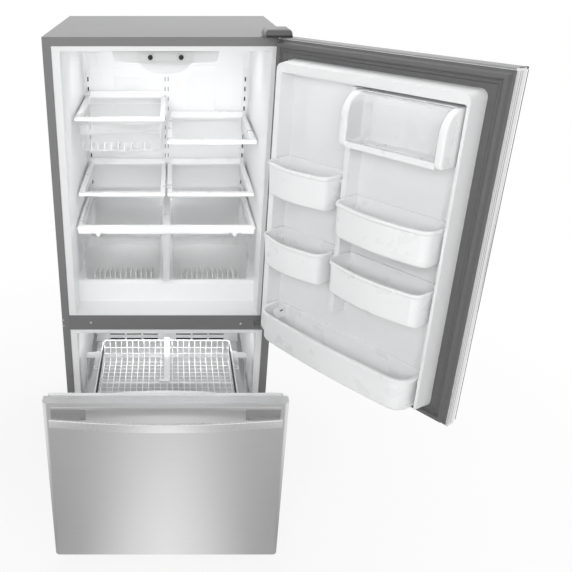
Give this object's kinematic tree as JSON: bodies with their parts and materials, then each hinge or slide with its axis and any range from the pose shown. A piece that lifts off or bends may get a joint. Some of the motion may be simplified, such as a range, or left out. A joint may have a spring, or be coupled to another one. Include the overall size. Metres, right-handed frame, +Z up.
{
  "type": "bottom-freezer refrigerator",
  "caption": "Free-standing bottom-freezer refrigerator in brushed stainless steel and grey, its door swung wide open and the freezer drawer pulled out.",
  "frame": {"origin": "centre of the bounding box of the object in its resting pose, at floor level", "axes": "+Z up, +X to the right of someone facing the refrigerator, +Y towards its back"},
  "size_m": [1.2354, 1.3304, 1.699],
  "materials": {
    "case_paint": "satin",
    "stainless": "brushed",
    "plated_steel": "satin",
    "white_plastic": "satin",
    "foam": "matte",
    "seal": "matte",
    "grey_plastic": "satin",
    "black_plastic": "satin",
    "clear_plastic": "gloss",
    "clear_glass": "gloss",
    "white_steel": "gloss",
    "black_steel": "satin"
  },
  "bodies": {
    "cabinet": {"outer_case": "case_paint", "machine_cover": "case_paint", "cabinet_insulation": "foam", "food_liner": "white_plastic", "freezer_liner": "white_plastic", "mullion_rail": "case_paint", "base_frame": "plated_steel", "top_hinge": "plated_steel", "top_hinge_cover": "grey_plastic", "centre_hinge": "plated_steel", "control_housing": "white_plastic", "light_lens": "clear_plastic", "ladder_left": "white_steel", "ladder_right": "white_steel", "ladder_centre": "white_steel", "shelf_upper_left_frame": "white_steel", "shelf_upper_left_glass": "clear_glass", "shelf_upper_right_frame": "white_steel", "shelf_upper_right_glass": "clear_glass", "shelf_middle_left_frame": "white_steel", "shelf_middle_left_glass": "clear_glass", "shelf_middle_right_frame": "white_steel", "shelf_middle_right_glass": "clear_glass", "crisper_cover": "white_plastic", "crisper_cover_glass": "clear_glass", "evaporator_cover": "white_plastic", "compressor": "black_steel", "slide_outer_left": "plated_steel", "slide_outer_right": "plated_steel"},
    "door": {"door_skin": "stainless", "door_top_cap": "grey_plastic", "door_insulation": "foam", "door_liner": "white_plastic", "door_gasket": "seal", "door_handle": "stainless", "dairy_housing": "white_plastic"},
    "drawer": {"drawer_skin": "stainless", "drawer_liner": "white_plastic", "drawer_gasket": "seal", "drawer_handle": "stainless", "drawer_frame": "white_steel", "lower_bin": "white_plastic"},
    "rear_rollers_body": {"rear_rollers": "black_plastic"},
    "condenser_fan_body": {"condenser_fan": "black_plastic"},
    "fridge_knob_body": {"fridge_knob": "black_plastic"},
    "freezer_knob_body": {"freezer_knob": "black_plastic"},
    "humidity_slider_left_body": {"humidity_slider_left": "white_plastic"},
    "humidity_slider_right_body": {"humidity_slider_right": "white_plastic"},
    "crisper_left_body": {"crisper_left": "clear_plastic"},
    "crisper_right_body": {"crisper_right": "clear_plastic"},
    "deli_drawer_body": {"deli_drawer": "clear_plastic"},
    "dairy_lid_body": {"dairy_lid": "clear_plastic"},
    "small_bin_upper_body": {"small_bin_upper": "white_plastic"},
    "small_bin_lower_body": {"small_bin_lower": "white_plastic"},
    "large_bin_upper_body": {"large_bin_upper": "white_plastic"},
    "large_bin_lower_body": {"large_bin_lower": "white_plastic"},
    "bottom_bin_body": {"bottom_bin": "white_plastic"},
    "slide_middle_left_body": {"slide_middle_left": "plated_steel"},
    "slide_middle_right_body": {"slide_middle_right": "plated_steel"},
    "upper_basket_body": {"upper_basket": "white_steel"}
  },
  "joints": [
    {"name": "door_swing", "type": "hinge", "parent": "cabinet", "child": "door", "pos_m": [0.12049, -0.06111, 1.18], "axis": [0, 0, 1], "range_deg": [-127.6, 7]},
    {"name": "dairy_lid_flip", "type": "hinge", "parent": "door", "child": "dairy_lid_body", "pos_m": [0.36626, -0.51202, 1.5745], "axis": [-0.6101, 0.7923, 0], "range_deg": [0, 62]},
    {"name": "small_bin_upper_lift", "type": "slide", "parent": "door", "child": "small_bin_upper_body", "axis": [0, 0, 1], "range_m": [0, 0.05]},
    {"name": "small_bin_lower_lift", "type": "slide", "parent": "door", "child": "small_bin_lower_body", "axis": [0, 0, 1], "range_m": [0, 0.05]},
    {"name": "large_bin_upper_lift", "type": "slide", "parent": "door", "child": "large_bin_upper_body", "axis": [0, 0, 1], "range_m": [0, 0.05]},
    {"name": "large_bin_lower_lift", "type": "slide", "parent": "door", "child": "large_bin_lower_body", "axis": [0, 0, 1], "range_m": [0, 0.05]},
    {"name": "bottom_bin_lift", "type": "slide", "parent": "door", "child": "bottom_bin_body", "axis": [0, 0, 1], "range_m": [0, 0.05]},
    {"name": "freezer_drawer_slide", "type": "slide", "parent": "cabinet", "child": "drawer", "axis": [0, -1, 0], "range_m": [-0.4165, 0.04]},
    {"name": "slide_left_travel", "type": "slide", "parent": "cabinet", "child": "slide_middle_left_body", "axis": [0, -1, 0], "range_m": [-0.20825, 0.02]},
    {"name": "slide_right_travel", "type": "slide", "parent": "cabinet", "child": "slide_middle_right_body", "axis": [0, -1, 0], "range_m": [-0.20825, 0.02]},
    {"name": "upper_basket_slide", "type": "slide", "parent": "drawer", "child": "upper_basket_body", "axis": [0, 1, 0], "range_m": [0, 0.16]},
    {"name": "deli_drawer_slide", "type": "slide", "parent": "cabinet", "child": "deli_drawer_body", "axis": [0, -1, 0], "range_m": [0, 0.25]},
    {"name": "crisper_left_slide", "type": "slide", "parent": "cabinet", "child": "crisper_left_body", "axis": [0, -1, 0], "range_m": [0, 0.25]},
    {"name": "crisper_right_slide", "type": "slide", "parent": "cabinet", "child": "crisper_right_body", "axis": [0, -1, 0], "range_m": [0, 0.25]},
    {"name": "humidity_left_slide", "type": "slide", "parent": "cabinet", "child": "humidity_slider_left_body", "axis": [1, 0, 0], "range_m": [-0.015, 0.015]},
    {"name": "humidity_right_slide", "type": "slide", "parent": "cabinet", "child": "humidity_slider_right_body", "axis": [1, 0, 0], "range_m": [-0.015, 0.015]},
    {"name": "fridge_knob_turn", "type": "hinge", "parent": "cabinet", "child": "fridge_knob_body", "pos_m": [-0.28831, 0.03329, 1.6054], "axis": [0, -1, 0], "range_deg": [-135, 135]},
    {"name": "freezer_knob_turn", "type": "hinge", "parent": "cabinet", "child": "freezer_knob_body", "pos_m": [-0.19111, 0.03329, 1.6054], "axis": [0, -1, 0], "range_deg": [-135, 135]},
    {"name": "roller_spin", "type": "hinge", "parent": "cabinet", "child": "rear_rollers_body", "pos_m": [-0.23971, 0.60329, 0.014], "axis": [1, 0, 0], "continuous": true},
    {"name": "condenser_fan_spin", "type": "hinge", "parent": "cabinet", "child": "condenser_fan_body", "pos_m": [-0.19971, 0.55129, 0.14], "axis": [1, 0, 0], "continuous": true}
  ],
  "couplings": [
    {"joint": "slide_left_travel", "follows": "freezer_drawer_slide", "ratio": 0.5},
    {"joint": "slide_right_travel", "follows": "freezer_drawer_slide", "ratio": 0.5}
  ]
}
